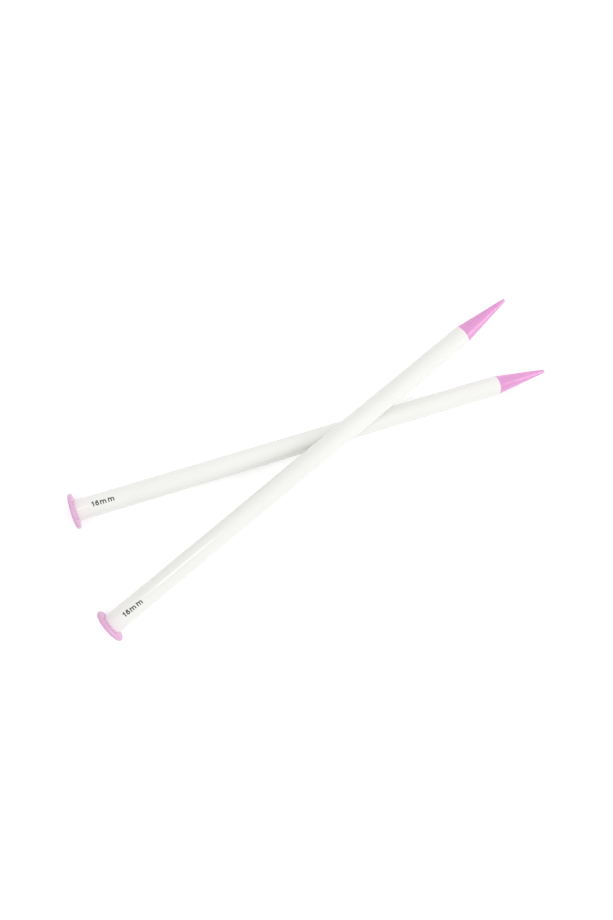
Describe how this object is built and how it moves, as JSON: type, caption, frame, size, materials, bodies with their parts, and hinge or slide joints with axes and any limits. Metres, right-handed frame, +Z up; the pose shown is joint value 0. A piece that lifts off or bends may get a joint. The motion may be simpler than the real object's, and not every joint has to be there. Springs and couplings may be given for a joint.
{
  "type": "straight knitting needles",
  "caption": "Jumbo straight knitting needles laid across each other: hollow white plastic shafts with pink tapered points and round pink end caps.",
  "frame": {"origin": "on the surface that the needles lie on, under the middle of the pair's bounding box", "axes": "+X along the lower needle seen from above, from its end cap to its point; +Y across it, towards the side that the upper needle's point reaches; +Z up, away from the surface"},
  "size_m": [0.404, 0.1654, 0.0414],
  "materials": {
    "white_plastic": "extruded off-white plastic with a soft gloss and faint lengthwise draw lines",
    "pink_plastic": "injection-moulded orchid pink plastic, smooth and glossy"
  },
  "bodies": {
    "lower_needle": {"lower_tube": "white_plastic", "lower_tip": "pink_plastic", "lower_end_cap": "pink_plastic"},
    "upper_needle": {"upper_tube": "white_plastic", "upper_tip": "pink_plastic", "upper_end_cap": "pink_plastic"}
  },
  "joints": [
    {"name": "upper_needle_lift", "type": "slide", "parent": "lower_needle", "child": "upper_needle", "axis": [0, 0, 1], "range_m": [0, 0.06]}
  ]
}
